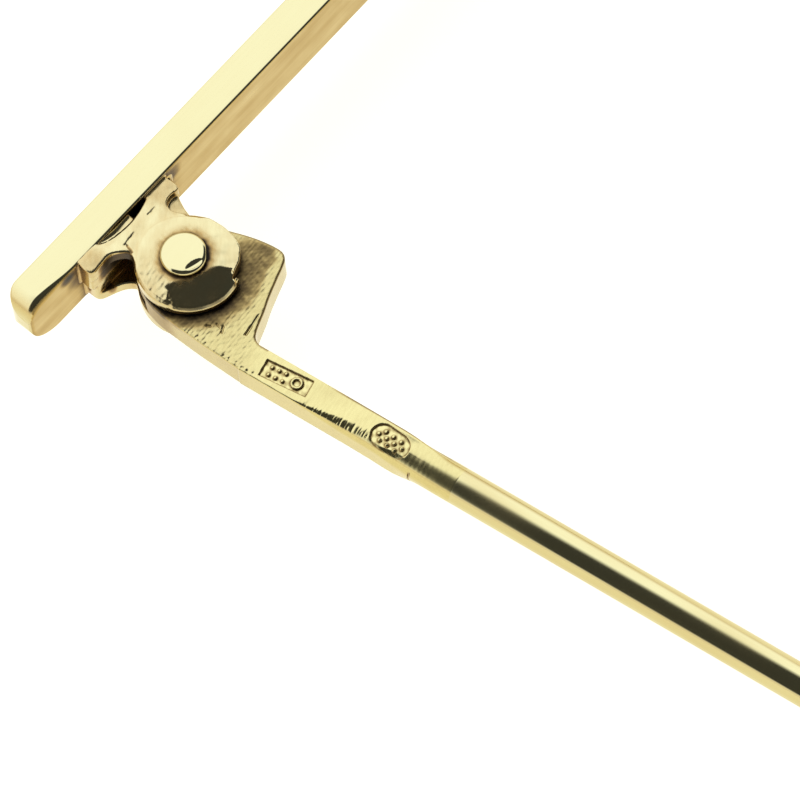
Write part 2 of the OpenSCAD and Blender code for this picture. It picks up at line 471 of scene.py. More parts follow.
def loft(rings: Array) -> Shell:
    """Joins rings of points into a closed surface with flat ends.

    Args:
        rings: Rings by points by three coordinates, each ring turning right-handed about the way
            that the rings follow.

    Returns:
        The surface.
    """
    count, around = rings.shape[:2]
    here = np.arange(around)
    there = (here + 1) % around
    faces = [
        np.column_stack([i + here, i + there, i + around + there, i + around + here])
        for i in range(0, (count - 1) * around, around)
    ]
    ends = [here[::-1], (count - 1) * around + here]
    return Shell(rings.reshape(-1, 3), np.concatenate(faces), ends)


def turned(profile: Rows, middle: Sequence[float], axis: int, sides: int = 96) -> Shell:
    """Turns a profile on a lathe.

    Args:
        profile: Positions along the axis and radii, from one end to the other.
        middle: A point on the axis, from which the positions count.
        axis: Which coordinate the axis lies along.
        sides: Points around.

    Returns:
        The turned surface.
    """
    angle = np.linspace(0, 2 * math.pi, sides, endpoint=False)
    rings = np.zeros((len(profile), sides, 3))
    one, two = (axis + 1) % 3, (axis + 2) % 3
    for ring, (at, radius) in zip(rings, profile):
        ring[:, axis] = middle[axis] + at
        ring[:, one] = middle[one] + radius * np.cos(angle)
        ring[:, two] = middle[two] + radius * np.sin(angle)
    return loft(rings)


# --- Finishes ---


def add_node(
    tree: bpy.types.NodeTree, kind: str, feeds: dict[str | int, Any] | None = None, **settings: Any
) -> bpy.types.Node:
    """Adds a node with its settings and links.

    Args:
        tree: The node tree.
        kind: Blender's name for the node.
        feeds: Values, outputs, or nodes whose first output is meant, for its inputs.
        settings: Values of the node's own properties.

    Returns:
        The new node.
    """
    node = tree.nodes.new(kind)
    for key, value in settings.items():
        setattr(node, key, value)
    for key, value in (feeds or {}).items():
        if isinstance(value, bpy.types.Node):
            value = value.outputs[0]
        if isinstance(value, bpy.types.NodeSocket):
            tree.links.new(value, node.inputs[key])
        else:
            node.inputs[key].default_value = value
    return node


def empty_tree(owner: Material | bpy.types.World) -> NodeMaker:
    """Clears the node tree of a material or world.

    Args:
        owner: The material or world.

    Returns:
        The function that adds a node to its tree.
    """
    owner.use_nodes = True
    owner.node_tree.nodes.clear()
    return partial(add_node, owner.node_tree)


@dataclass(frozen=True)
class GoldFinish:
    """Yellow gold of 14 carat, with the marks of one way of working it.

    Clean metal runs through amber and brown to nearly black as the patina_and_shade mask rises:
    real tarnish, and painted shade where the pieces are shut in. Lines are tool marks that run one
    way, and grain is the pitting or casting skin under them. Real buffing and drawing lines are
    finer than 0.03 mm: they are drawn that coarse, so that they show.
    """

    name: str
    clean: str
    amber: str
    brown: str
    roughness: float
    dull_roughness: float
    line_mm: float
    line_depth_mm: float
    line_turn_deg: float
    grain_mm: float
    grain_depth_mm: float
    mottle: float
    stretch: float = 30.0
    black: str = "#241C11"

    def material(self) -> Material:
        """Builds the material.

        Returns:
            The finished material.
        """
        material = bpy.data.materials.new(self.name)
        node = empty_tree(material)
        place = node("ShaderNodeTexCoord").outputs["Object"]
        line, grain_scale = self.line_mm / 1000, 1000 / self.grain_mm
        turn = (0, 0, math.radians(self.line_turn_deg))
        run = node(
            "ShaderNodeMapping",
            {"Vector": place, "Rotation": turn, "Scale": (line * self.stretch, line, line)},
            vector_type="TEXTURE",
        )
        lines, grain, cloud = (
            node("ShaderNodeTexNoise", {"Vector": where, "Scale": scale, "Detail": detail})
            for where, scale, detail in (
                (run, 1.0, 3.0), (place, grain_scale, 4.0), (place, grain_scale / 6, 5.0)
            )
        )
        mask = node("ShaderNodeAttribute", attribute_name="patina_and_shade").outputs["Fac"]
        both = node("ShaderNodeMath", {0: cloud, 1: lines}, operation="ADD")
        swing = node(
            "ShaderNodeMath", {0: both, 1: self.mottle, 2: -self.mottle}, operation="MULTIPLY_ADD"
        )
        patina_and_shade = node("ShaderNodeMath", {0: mask, 1: swing}, operation="ADD", use_clamp=True)
        ramp = node("ShaderNodeValToRGB", {"Fac": patina_and_shade})
        stops = ramp.color_ramp.elements
        stops[0].position, stops[0].color = 0.0, linear(self.clean)
        stops[1].position, stops[1].color = 1.0, linear(self.black)
        for at, colour in ((0.32, self.amber), (0.68, self.brown)):
            stops.new(at).color = linear(colour)
        keys = ("Value", "From Min", "From Max", "To Min", "To Max")
        rough, metal, relief = (
            node("ShaderNodeMapRange", dict(zip(keys, values)), clamp=True)
            for values in (
                (patina_and_shade, 0.0, 0.5, self.roughness, self.dull_roughness),
                (patina_and_shade, 0.4, 1.0, 1.0, 0.8),
                (mask, 0.08, 0.5, 0.06, 1.0),
            )
        )
        depth = self.line_depth_mm / 1000
        bump = node("ShaderNodeBump", {"Strength": relief, "Distance": depth, "Height": lines})
        depth = self.grain_depth_mm / 1000
        bump = node(
            "ShaderNodeBump",
            {"Strength": relief, "Distance": depth, "Height": grain, "Normal": bump},
        )
        shader = node(
            "ShaderNodeBsdfPrincipled",
            {"Base Color": ramp, "Metallic": metal, "Roughness": rough, "Normal": bump},
        )
        node("ShaderNodeOutputMaterial", {"Surface": shader})
        return material


class Gold(Enum):
    """The ways in which this brooch's gold was worked.

    Each has its name, its clean, amber and brown colours, its clean and dull roughness, the size,
    depth and turn of its lines, the size and depth of its grain, its mottle and its stretch.
    """

    # Buffed with rouge: a mirror with only the faintest hairlines.
    BUFFED = GoldFinish(
        "gold_buffed", "#D4C792", "#C2A565", "#75603A", 0.05, 0.35,
        0.04, 0.0002, 0.0, 0.25, 0.0003, 0.04,
    )
    # Drawn through a plate: a shine broken by fine lines along the wire.
    DRAWN = GoldFinish(
        "gold_drawn", "#D4C68E", "#BFA263", "#72603C", 0.07, 0.35,
        0.03, 0.0003, -82.35, 0.3, 0.0003, 0.05,
    )
    # Filed flat and only half polished: soft shine with marks across it.
    FILED = GoldFinish(
        "gold_filed", "#D5C584", "#AC9158", "#6A5634", 0.08, 0.45,
        0.06, 0.003, 10.0, 0.1, 0.003, 0.12, 4.0,
    )
    # Filed along the bar and left from the file: tan, with streaks lengthwise.
    STREAKED = GoldFinish(
        "gold_streaked", "#D3BB7D", "#BD9F5C", "#6E5632", 0.24, 0.45,
        0.06, 0.003, 0.0, 0.12, 0.003, 0.2,
    )
    # Cast and soldered: a skin that the polishing only reached on top.
    CAST = GoldFinish(
        "gold_cast", "#D4C590", "#BC9A5E", "#6B5434", 0.1, 0.42,
        0.08, 0.001, 40.0, 0.09, 0.0025, 0.12, 3.0,
    )


@dataclass(frozen=True)
class Nacre:
    """The skin of a cultured pearl: thin layers that shine softly and tint what they reflect."""

    name: str = "pearl_nacre"
    body: str = "#F4EBDA"
    blush: str = "#EEDACB"
    cloud_mm: float = 1.6
    growth_mm: float = 0.22
    growth_depth_mm: float = 0.002

    def material(self) -> Material:
        """Builds the material.

        Returns:
            The finished material.
        """
        material = bpy.data.materials.new(self.name)
        node = empty_tree(material)
        place = node("ShaderNodeTexCoord").outputs["Object"]
        cloud, growth = (
            node("ShaderNodeTexNoise", {"Vector": place, "Scale": 1000 / size, "Detail": detail})
            for size, detail in ((self.cloud_mm, 2.0), (self.growth_mm, 3.0))
        )
        tint = node("ShaderNodeValToRGB", {"Fac": cloud})
        stops = tint.color_ramp.elements
        stops[0].position, stops[0].color = 0.35, linear(self.body)
        stops[1].position, stops[1].color = 0.7, linear(self.blush)
        depth = self.growth_depth_mm / 1000
        bump = node("ShaderNodeBump", {"Strength": 1.0, "Distance": depth, "Height": growth})
        shader = node(
            "ShaderNodeBsdfPrincipled",
            {
                "Base Color": tint, "Roughness": 0.22, "IOR": 1.53, "Normal": bump,
                "Coat Weight": 0.7, "Coat Roughness": 0.08, "Coat IOR": 1.6,
                "Sheen Weight": 0.15, "Sheen Roughness": 0.4,
            },
        )
        node("ShaderNodeOutputMaterial", {"Surface": shader})
        return material


# --- The brooch's own pieces ---


@dataclass
class Bar:
    """The bar: one straight strip with polished sides and a filed back."""

    length: float = 50.0
    thick: float = 0.93
    half_width: float = 1.0
    overhang: float = 3.8
    front_r: float = 0.5
    back_r: float = 0.14
    upper_r: float = 0.6
    lower_r: float = 1.0
    edge: float = 0.05
    worn_edge: float = 0.19
    crown: float = 0.012
    back_points: int = 30
    side_points: int = 10
    corner_points: int = 6
    skin_gap: float = 0.002
    # Stains on the back by the hinge: place along the bar and across it, size and depth.
    stains: Table = (
        (-2.35, 0.75, 0.35, 0.6), (-2.2, 0.3, 0.3, 0.25), (1.7, 0.6, 0.4, 0.35),
        (-0.3, 0.85, 0.5, 0.3),
    )

    def distance(self, a: Array, h: Array, z: Array) -> Array:
        """Distance to the bar as a plain box."""
        lengthwise = np.abs(a - self.length / 2 + self.overhang) - self.length / 2
        return slab(slab(lengthwise, h, -self.thick, 0, 0), z, -self.half_width, self.half_width, 0)

    def soldered(
        self, at: Sequence[Array], metal: Array, fillet: Array | float, reach: float, depth: float
    ) -> Array:
        """Joins a piece to the bar with solder and keeps the bar's skin just round it.

        Args:
            at: Places along the bar, above its back and across it.
            metal: Distance to the piece there.
            fillet: Width of the solder's fillet.
            reach: How far the solder spreads from the piece.
            depth: How far the skin reaches into the bar.

        Returns:
            Signed distances.
        """
        # The skin lies just under the bar's own faces, so that the two don't flicker.
        joined = soft_union(metal, self.distance(*at), fillet) + self.skin_gap
        return np.maximum(np.maximum(joined, metal - reach), -at[1] - depth)

    def stations(self) -> Array:
        """Where the bar's cross-sections lie, close together at the ends and by the hinge.

        Returns:
            Places along the bar.
        """
        turn = np.linspace(0.06, math.pi / 2, 32)
        cap = 1 - np.cos(turn)
        low, high = -self.overhang, self.length - self.overhang
        middle = spaced([(low + 1.06, 0.06), (3.2, 0.5)], high - 1.2)
        return np.concatenate([low + cap, middle, (high - cap)[::-1]])

    def ring(self, a: float) -> Array:
        """One cross-section.

        Args:
            a: Its place along the bar.

        Returns:
            The points of the section.
        """
        rest = min(a + self.overhang, self.length - self.overhang - a)

        def drop(radius: float) -> float:
            """How far a rounded corner has fallen away here."""
            short = max(radius - rest, 0)
            return radius - math.sqrt(radius**2 - short**2)

        back, front = -drop(self.back_r), -self.thick + drop(self.front_r)
        high, low = self.half_width - drop(self.upper_r), -self.half_width + drop(self.lower_r)
        worn = self.edge + (self.worn_edge - self.edge) * float(smoothstep(-2.0, -3.4, np.array(a)))
        limit = 0.4 * min(back - front, high - low)
        edge = min(self.edge, limit)
        corners = ((back, high, min(worn, limit)), (front, high, edge), (front, low, edge),
                   (back, low, edge))
        points: list[tuple[float, float]] = []
        arcs = []
        for quarter, (h, z, r) in zip((0.0, 0.5, 1.0, 1.5), corners):
            angle = (np.linspace(0, 0.5, self.corner_points) + quarter) * math.pi
            mid_h = h - r if h == back else h + r
            mid_z = z - r if z == high else z + r
            arcs.append(np.column_stack([mid_h + r * np.cos(angle), mid_z + r * np.sin(angle)]))
        counts = (self.side_points, self.back_points, self.side_points, self.back_points)
        for n, arc in enumerate(arcs):
            points.extend(arc)
            start, end = arc[-1], arcs[(n + 1) % 4][0]
            span = np.linalg.norm(end - start)
            inset = min(0.02 / max(span, 1e-6), 0.2)
            share = np.concatenate([[inset], np.linspace(0, 1, counts[n])[1:-1], [1 - inset]])
            points.extend(start + (end - start) * s for s in share)
        ring = np.array(points)
        mid = (back + front) / 2
        bow = self.crown * (1 - ((ring[:, 0] - mid) / (self.thick / 2)) ** 2)
        ring[:, 1] += np.where(np.abs(ring[:, 1]) > 0.5 * high, np.sign(ring[:, 1]) * bow, 0)
        return np.column_stack([np.full(len(ring), a), ring])

    def build(self, near: Field, sides: Material, back: Material) -> None:
        """Builds and dresses the bar.

        Args:
            near: Distance to the metal round it.
            sides: Finish of its sides.
            back: Finish of its back.
        """
        shell = loft(np.array([self.ring(a) for a in self.stations()]))
        a, h, z = shell.points.T
        on_back = shell.normals()[:, 1] > 0.7
        by_hinge = smoothstep(3.4, 2.2, a)
        # Darker where the metal by the hinge shuts the bar in: grime, and painted shade.
        shut = np.where(by_hinge > 0, shelter(near, shell, (0.12, 0.3, 0.6)), 0)
        streaks = ripple(a * 0.15, h, z, 0.35, 11) * 0.5 + ripple(a * 0.5, h, z, 0.6, 12) * 0.5
        patina_and_shade = np.where(on_back, 0.22 + 0.12 * streaks + 0.75 * shut, 0.02 + 0.25 * shut)
        for spot_a, spot_z, size, depth in self.stains:
            away = np.hypot((a - spot_a) / size, (z - spot_z) / size)
            patina_and_shade += np.where(on_back, depth * smoothstep(1.0, 0.2, away), 0)
        filed = on_back[shell.faces[:, 0]]
        make_piece("bar", Body.BROOCH, Slot.SOLDERED, shell, patina_and_shade, sides, back,
                   choice=filed, stands_for="bar_frame")


@dataclass
class Saddle:
    """The hinge saddle: cast feet, waist and two ears, soldered to the bar's back."""

    half_width: float = 0.9
    ear_r: float = 1.38
    ear_lift: float = 0.12
    slot_half: float = 0.5
    rim: float = 0.02
    chamfer: float = 0.09
    solder: float = 0.1
    bore_r: float = 0.37
    foot_top: float = 0.9
    facet_turn: float = math.radians(118)
    facet_slope: float = math.tan(math.radians(12))
    facet_from: float = 0.6
    # The two straight ends of the facet: the way each faces, and its distance from the rivet.
    facet_ends: Table = ((149, 0.193), (-146.3, -1.068))
    facet_fade: tuple[float, float] = (42, -0.5)
    # The round arch between the feet: its middle's a and h, and its radius.
    arch: tuple[float, float, float] = (-0.23, -2.06, 2.26)
    arch_low: float = -0.74

    # Upper feet and waist, notched behind both feet: a, h.
    upper: Rows = (
        (-1.92, 0.02), (-1.95, 0.3), (-1.86, 0.47), (-1.55, 0.46), (-1.22, 0.45), (-0.99, 0.57),
        (-0.83, 0.78), (-0.92, 1.02), (-1.12, 1.33), (-0.7, 1.7), (0.7, 1.7), (0.9, 1.2),
        (0.84, 0.98), (0.76, 0.76), (0.86, 0.54), (1.1, 0.48), (1.33, 0.52), (1.4, 0.3),
        (1.36, 0.02),
    )
    # Lower feet and waist, with plain fillets: a, h.
    lower: Rows = (
        (-1.8, 0.02), (-1.8, 0.3), (-1.71, 0.45), (-1.43, 0.58), (-1.15, 0.72), (-0.95, 0.95),
        (-0.98, 1.2), (-0.7, 1.7), (0.7, 1.7), (1.0, 1.25), (1.12, 0.9), (1.24, 0.62),
        (1.38, 0.43), (1.48, 0.24), (1.56, 0.02),
    )
    # How far the upper ear's rim has worn back, by its way round from the bar in degrees.
    ear_wear: Rows = (
        (0, 0.0), (40, 0.1), (85, 0.13), (100, 0.1), (125, 0.01), (140, 0.0), (160, -0.05),
        (185, -0.04), (215, 0.0), (360, 0.0),
    )
    # The nick knocked out of the upper ear's rim: a, and height above the rivet.
    nick: Rows = (
        (1.08, 0.97), (0.79, 1.18), (0.57, 1.25), (0.34, 1.33), (0.44, 1.5), (0.9, 1.7), (1.5, 1.3),
    )
    # Cracks where ear and feet were joined: start a, h, end a, h, radius, depth.
    cracks: Table = (
        (-0.307, 0.484, -0.757, 0.527, 0.026, 0.009),
        (0.564, 0.43, 0.247, 0.428, 0.024, 0.008),
        (-0.691, 0.572, -0.777, 0.81, 0.036, 0.03),
    )

    def plan(self, rows: Rows) -> Array:
        """The closed outline of a half, running down into the bar."""
        line = smooth_rows(rows)
        return np.vstack([line, [line[-1][0], -0.3], [line[0][0], -0.3]])

    def ear_top(self, a: Array, h: Array) -> Array:
        """Height of the upper ear's worn face.

        Args:
            a, h: Places along the bar and above its back.

        Returns:
            The height of the face.
        """
        up = h - AXIS_H
        way = np.degrees(np.arctan2(up, a))
        turn = self.facet_turn
        slope = a * math.cos(turn) + up * math.sin(turn) - self.facet_from
        slope = 0.5 * (slope + np.sqrt(slope**2 + 0.02**2)) * self.facet_slope

        def past(end: Sequence[float]) -> Array:
            """Distance inwards from one end of the facet."""
            turn = math.radians(end[0])
            return a * math.cos(turn) + up * math.sin(turn) - end[1]

        ragged = past(self.facet_fade) + 0.05 * ripple(a, up, 0 * a, 0.25, 2)
        worn = smoothstep(-0.03, 0.02, np.minimum(*(past(end) for end in self.facet_ends)))
        worn = worn * smoothstep(-0.09, 0.06, ragged)
        rough = smoothstep(125, 160, np.abs(way)) * smoothstep(0.65, 0.95, np.hypot(a, up))
        pits = 0.0026 * ripple(a, up, 0 * a, 0.16, 3) + 0.002 * ripple(a, up, 0 * a, 0.08, 4)
        return 0.94 - 0.015 * smoothstep(0.6, 1.3, np.hypot(a, up)) + pits * rough - slope * worn

    def metal(self, a: Array, h: Array, z: Array) -> Array:
        """Distance to the saddle alone.

        Args:
            a, h, z: Places along the bar, above its back and across it.

        Returns:
            Signed distances.
        """
        # The upper feet, the left one higher, and the lower feet with a ledge on the right.
        edge = 0.06 - 0.045 * smoothstep(0.2, 0.8, a)
        over = smoothstep(-0.8, -1.35, a) * smoothstep(1.0, 0.7, h)
        high = self.foot_top + 0.116 * over - 0.14 * over * np.clip(0.03 - h, 0, 0.3)
        upper = slab(outline_distance(self.plan(self.upper), a, h), z, -0.05, high, edge)
        ledge = 0.05 + 0.58 * smoothstep(0.4, 0.65, a)
        lower = outline_distance(self.plan(self.lower), a, h)
        lower = slab(lower, z, -self.half_width, ledge, 0.08)
        # The two ears: the upper one is worn, chamfered by the foot and nicked.
        up = h - AXIS_H - self.ear_lift
        way = np.mod(np.degrees(np.arctan2(up, a)) + 90, 360)
        plain = np.hypot(a, up) - self.ear_r
        worn = plain + np.interp(way, *np.transpose(self.ear_wear))
        top = self.ear_top(a, h)
        chamfer = self.chamfer * np.maximum(smoothstep(158, 170, way), smoothstep(80, 60, way))
        ear = slab(worn, z, self.slot_half, top, self.rim)
        ear = soft_cut(ear, -(worn + z - top + chamfer) / math.sqrt(2), 0.01)
        ear = soft_cut(ear, outline_distance(np.array(self.nick), a, h - AXIS_H), 0.02)
        twin = slab(plain, z, -self.half_width, -self.slot_half, self.rim)
        body = soft_union(soft_union(upper, lower, 0.06), soft_union(ear, twin, 0.02), 0.06)
        # The slot for the tongue, the arch from both sides and the rivet's bore.
        floor = np.interp(a, [0.3, 1.5], [0.42, 0.2])
        body = soft_cut(body, np.maximum(np.abs(z) - self.slot_half, floor - h), 0.03)
        mid_a, mid_h, arch_r = self.arch
        arch = np.hypot(a - mid_a, h - mid_h) - arch_r
        depth = 0.84 + 0.1 * smoothstep(-0.6, -1.1, a) - 0.63 * smoothstep(-0.05, 0.3, a)
        depth = depth + 0.01 * ripple(a, h, 0 * a, 0.4, 6)
        body = soft_cut(body, np.maximum(arch, depth - z), 0.07)
        body = soft_cut(body, np.maximum(arch, z - self.arch_low), 0.03)
        body = soft_cut(body, np.hypot(a, h - AXIS_H) - self.bore_r, 0.02)
        waver = 0.025 * ripple(a, h, 0 * a, 0.2, 16)
        for a0, h0, a1, h1, radius, depth in self.cracks:
            high = self.foot_top + radius - depth
            line = stroke(a + waver, h - waver, z, (a0, h0, high), (a1, h1, high))
            body = soft_cut(body, line - radius, 0.01)
        return body + 0.0015 * ripple(a, h, z, 0.3, 5)

    def tarnish_and_shade(self, points: Array, shut: Array) -> Array:
        """How dark the gold is by tarnish and painted shade, from 0 where clean to 1 nearly black.

        Args:
            points: Points of the surface.
            shut: How far each is shut in.

        Returns:
            The patina and painted shade of each point.
        """
        a, h, z = points.T
        up = h - AXIS_H
        rivet = np.hypot(a, up)
        face = z > 0.6
        # Darker where shut in: grime in the hollows, and painted shade.
        patina_and_shade = 0.06 + 0.95 * shut**1.2 + 0.04 * ripple(a, h, z, 0.5, 8)
        # The speckled ring round the rivet, darker below it with the head's painted shadow.
        below = np.clip((up + 0.4 * a) / np.maximum(rivet, 0.3), -1, 1)
        ring = (0.24 + 0.26 * below) * smoothstep(0.72, 0.6, rivet)
        ring += (0.15 + 0.05 * below) * smoothstep(0.98, 0.62, rivet)
        speckled = 0.8 + 0.35 * ripple(a, h, z, 0.45, 13) + 0.45 * ripple(a, h, z, 0.11, 14)
        patina_and_shade += ring * speckled * face
        # The clean floor of the arch.
        lens = smoothstep(0.3, 0.2, h) * smoothstep(0.1, -0.2, a) * smoothstep(-1.3, -1.0, a)
        patina_and_shade += (0.1 - patina_and_shade) * lens * face
        # The left cove: cleaner low down, with painted shade, nearly black, under its brow
        # and in its corner.
        cove = smoothstep(-1.75, -1.45, a) * smoothstep(-0.6, -0.85, a) * (h < 1.1) * (h > 0.35)
        patina_and_shade -= 0.4 * shut * cove * smoothstep(0.15, 0.0, z)
        patina_and_shade += 0.75 * cove * smoothstep(-0.05, 0.2, z) * smoothstep(0.89, 0.86, z)
        patina_and_shade += 0.5 * cove * smoothstep(0.16, 0.06, np.hypot(a + 1.43, (z + 0.5) * 0.5))
        # The right cove, the solder over the left foot, and the ear's face towards the bar.
        bay = smoothstep(0.6, 0.8, a) * smoothstep(1.1, 0.9, h)
        patina_and_shade += (0.2 - patina_and_shade) * bay * (z < 0.95)
        patina_and_shade += 0.12 * smoothstep(0.75, 0.3, np.hypot(a + 1.8, (h - 0.15) * 1.5)) * (z > 0.7)
        way = np.abs(np.degrees(np.arctan2(up, a)))
        patina_and_shade += 0.04 * smoothstep(115, 150, way) * ((rivet > 0.65) & face & (h > 1.2))
        # The walls of the nick, darkened as painted shade.
        chipped = smoothstep(0.06, 0.02, outline_distance(np.array(self.nick), a, up))
        return patina_and_shade + 0.25 * chipped * smoothstep(0.82, 0.74, z) * (z > 0.4)

    def build(self, bar: Bar, near: Field, finish: Material) -> None:
        """Builds and dresses the saddle with the solder round its feet.

        Args:
            bar: The bar that it is soldered to.
            near: Distance to the metal round it.
            finish: Its finish.
        """

        def soldered(a: Array, h: Array, z: Array) -> Array:
            """The saddle, its solder and the skin of the bar just round it."""
            fillet = 0.004 + self.solder * smoothstep(0.98, 0.88, z)
            return bar.soldered((a, h, z), self.metal(a, h, z), fillet, self.solder * 1.3, 0.15)

        shell = skin(soldered, spaced([(-2.5, 0.032)], 2.3), spaced([(-0.3, 0.032)], 3.6),
                     spaced([(-1.12, 0.045), (0.35, 0.03)], 1.16))
        patina_and_shade = self.tarnish_and_shade(shell.points, shelter(near, shell, (0.08, 0.2, 0.4)))
        make_piece("hinge_saddle", Body.BROOCH, Slot.SOLDERED, shell, patina_and_shade, finish)


@dataclass
class Catch:
    """The catch: a strip bent into a plain hook that opens upwards."""

    middle: float = 38.2
    width: float = 1.6
    thick: float = 0.45
    hook_r: float = 0.6
    hook_h: float = 2.2
    lip_turn: float = math.radians(12)
    foot: float = 1.55
    foot_thick: float = 0.3
    corner_r: float = 0.35

    def plan(self, z: Array, h: Array) -> Array:
        """Distance to the bent strip seen along the bar.

        Args:
            z, h: Places across the bar and above its back.

        Returns:
            Signed distances in that plane.
        """
        outer = self.hook_r + self.thick

        def box(z0: float, z1: float, h0: float, h1: float) -> Array:
            """Distance to a rectangle."""
            return slab(np.abs(z - (z0 + z1) / 2) - (z1 - z0) / 2, h, h0, h1, 0)

        riser = box(-outer, -self.hook_r, -0.2, self.hook_h)
        foot = box(-outer, -outer + self.foot, -0.2, self.foot_thick)
        up = h - self.hook_h
        mid = self.hook_r + self.thick / 2
        lip = (mid * math.cos(self.lip_turn), mid * math.sin(self.lip_turn))
        way = np.arctan2(up, z)
        on_arc = (way > self.lip_turn) | (way < -math.pi * 0.75)
        arc = np.where(on_arc, np.abs(np.hypot(z, up) - mid),
                       np.hypot(z - lip[0], up - lip[1])) - self.thick / 2
        return soft_union(soft_union(riser, foot, 0.25), arc, 0.02)

    def metal(self, a: Array, h: Array, z: Array) -> Array:
        """Distance to the catch.

        Args:
            a, h, z: Places along the bar, above its back and across it.

        Returns:
            Signed distances.
        """
        half, corner = self.width / 2, self.corner_r
        top = self.hook_h + self.hook_r + self.thick
        over = np.maximum(h - top + corner, 0)
        narrow = half - corner + np.sqrt(np.maximum(corner**2 - over**2, 0))
        strip = slab(self.plan(z, h), a - self.middle, -half, half, 0.07)
        strip = soft_cut(strip, narrow - np.abs(a - self.middle), 0.05)
        return strip + 0.004 * ripple(a, h, z, 0.5, 9)

    def build(self, bar: Bar, finish: Material) -> None:
        """Builds and dresses the catch with the solder at its foot.

        Args:
            bar: The bar that it is soldered to.
            finish: Its finish.
        """

        def soldered(a: Array, h: Array, z: Array) -> Array:
            """The catch, its solder and the skin of the bar just round it."""
            return bar.soldered((a, h, z), self.metal(a, h, z), 0.12, 0.15, 0.12)

        lines = spaced([(-1.25, 0.05)], 1.25)
        shell = skin(soldered, lines + self.middle, spaced([(-0.3, 0.05)], 3.5), lines)
        shut = shelter(soldered, shell, (0.15, 0.4))
        a, h, z = shell.points.T
        # Darker where shut in: grime, and painted shade.
        patina_and_shade = 0.08 + 0.7 * shut**1.3 + 0.05 * ripple(a, h, z, 0.7, 15)
        make_piece("catch_hook", Body.BROOCH, Slot.SOLDERED, shell, patina_and_shade, finish)


@dataclass
class Pearl:
    """The pearl, its cup and the peg that it is glued on."""

    radius: float = 2.25
    cup_r: float = 1.6
    floor: float = 0.3
    rim: float = 0.1
    peg_r: float = 0.35
    peg: float = 2.1
    gap: float = 0.03

    def middle(self, bar: Bar) -> tuple[float, float, float]:
        """Middle of the pearl, in the brooch's axes."""
        return (bar.length / 2 - bar.overhang, -bar.thick - self.floor - self.radius, 0.0)

    def cup(self, bar: Bar, finish: Material) -> None:
        """Builds the cup with its peg.

        Args:
            bar: The bar that it is soldered to.
            finish: Its finish.
        """
        at, h, z = self.middle(bar)
        bowl_r = self.radius + self.gap
        seat = self.cup_r - self.rim
        turn = np.linspace(math.asin(self.peg_r / bowl_r), math.asin(seat / bowl_r), 14)
        tip = -self.radius + self.peg
        profile = [(-tip, 0.01), (-tip, self.peg_r - 0.05), (-tip + 0.05, self.peg_r)]
        profile += [(bowl_r * math.cos(t), bowl_r * math.sin(t)) for t in turn]
        rim_at = bowl_r * math.cos(turn[-1])
        bend = np.linspace(0, math.pi, 9)
        mid = (seat + self.cup_r) / 2
        profile += [
            (rim_at - self.rim / 2 * math.sin(b), mid - self.rim / 2 * math.cos(b)) for b in bend
        ]
        base = self.radius + self.floor
        profile += [(rim_at + 0.1, self.cup_r), (base - 0.16, self.cup_r), (base + 0.06, 1.5),
                    (base + 0.06, 0.01)]
        shell = turned(profile, (at, h, z), 1)
        inside = smoothstep(self.cup_r - 0.02, self.cup_r - 0.3,
                            np.hypot(shell.points[:, 0] - at, shell.points[:, 2] - z))
        patina_and_shade = 0.05 + 0.4 * inside
        make_piece("pearl_cup", Body.BROOCH, Slot.SOLDERED, shell, patina_and_shade, finish)

    def build(self, bar: Bar, finish: Material) -> None:
        """Builds the drilled pearl.

        Args:
            bar: The bar that it stands on.
            finish: Its nacre.
        """
        hole = self.peg_r + self.gap
        start = math.asin(hole / self.radius)
        turn = np.linspace(math.pi - 0.02, start, 90)
        profile = [(self.radius * math.cos(t), self.radius * math.sin(t)) for t in turn]
        deep = self.radius - self.peg - 0.2
        profile += [(self.radius * math.cos(start) - 0.02, hole), (deep, hole), (deep, 0.01)]
        shell = turned(profile, self.middle(bar), 1, 128)
        out = shell.points - np.array(self.middle(bar))
        swell = 1 + 0.004 * ripple(*out.T, 3.0, 21)
        skin_points = np.linalg.norm(out, axis=1) > self.radius * 0.98
        out[skin_points] *= np.minimum(swell, 1.0)[skin_points, None]
        shell.points = out + np.array(self.middle(bar))
        make_piece("pearl", Body.BROOCH, Slot.NACRE, shell, None, finish, stands_for="pearl")


@dataclass
class Rivet:
    """The rivet: a shank through both ears and a low head hammered over each."""

    radius: float = 0.35
    head_r: float = 0.61
    head_low: float = 0.92
    head_high: float = 1.12
    head_edge: float = 0.11
    flat_at: float = 0.575
    flat_way: float = math.radians(48)
    dent_at: tuple[float, float, float] = (0.1, 0.42, 1.135)
    dent_size: tuple[float, float, float] = (0.25, 0.1, 0.06)

    def metal(self, a: Array, h: Array, z: Array) -> Array:
        """Distance to the rivet.

        Args:
            a, h, z: Places along the bar, above its back and across it.

        Returns:
            Signed distances.
        """
        up = h - AXIS_H
        r = np.hypot(a, up)
        shank = slab(r - self.radius, z, -1.0, 1.0, 0.02)
        head = slab(r - self.head_r, np.abs(z), self.head_low, self.head_high, self.head_edge)
        beyond = a * math.cos(self.flat_way) + up * math.sin(self.flat_way)
        head = soft_cut(head, self.flat_at - beyond, 0.015)
        along, across = 0.95 * (a + 0.04) + 0.3 * up, 0.95 * up - 0.3 * (a + 0.04)
        dent = ball(along, across, np.abs(z), self.dent_at, self.dent_size)
        head = soft_cut(head, dent, 0.015)
        return np.minimum(shank, head) + 0.0015 * ripple(a, up, z, 0.4, 31)

    def build(self, finish: Material) -> None:
        """Builds and dresses the rivet.

        Args:
            finish: Its finish.
        """
        across = spaced([(-0.66, 0.022)], 0.66)
        shell = skin(self.metal, across, across + AXIS_H,
                     spaced([(-1.18, 0.022), (-0.86, 0.12), (0.86, 0.022)], 1.18))
        patina_and_shade = 0.02 + 0.9 * smoothstep(1.0, 0.93, np.abs(shell.points[:, 2]))
        make_piece("hinge_rivet", Body.BROOCH, Slot.POLISHED, shell, patina_and_shade, finish,
                   stands_for="hinge_rivet")


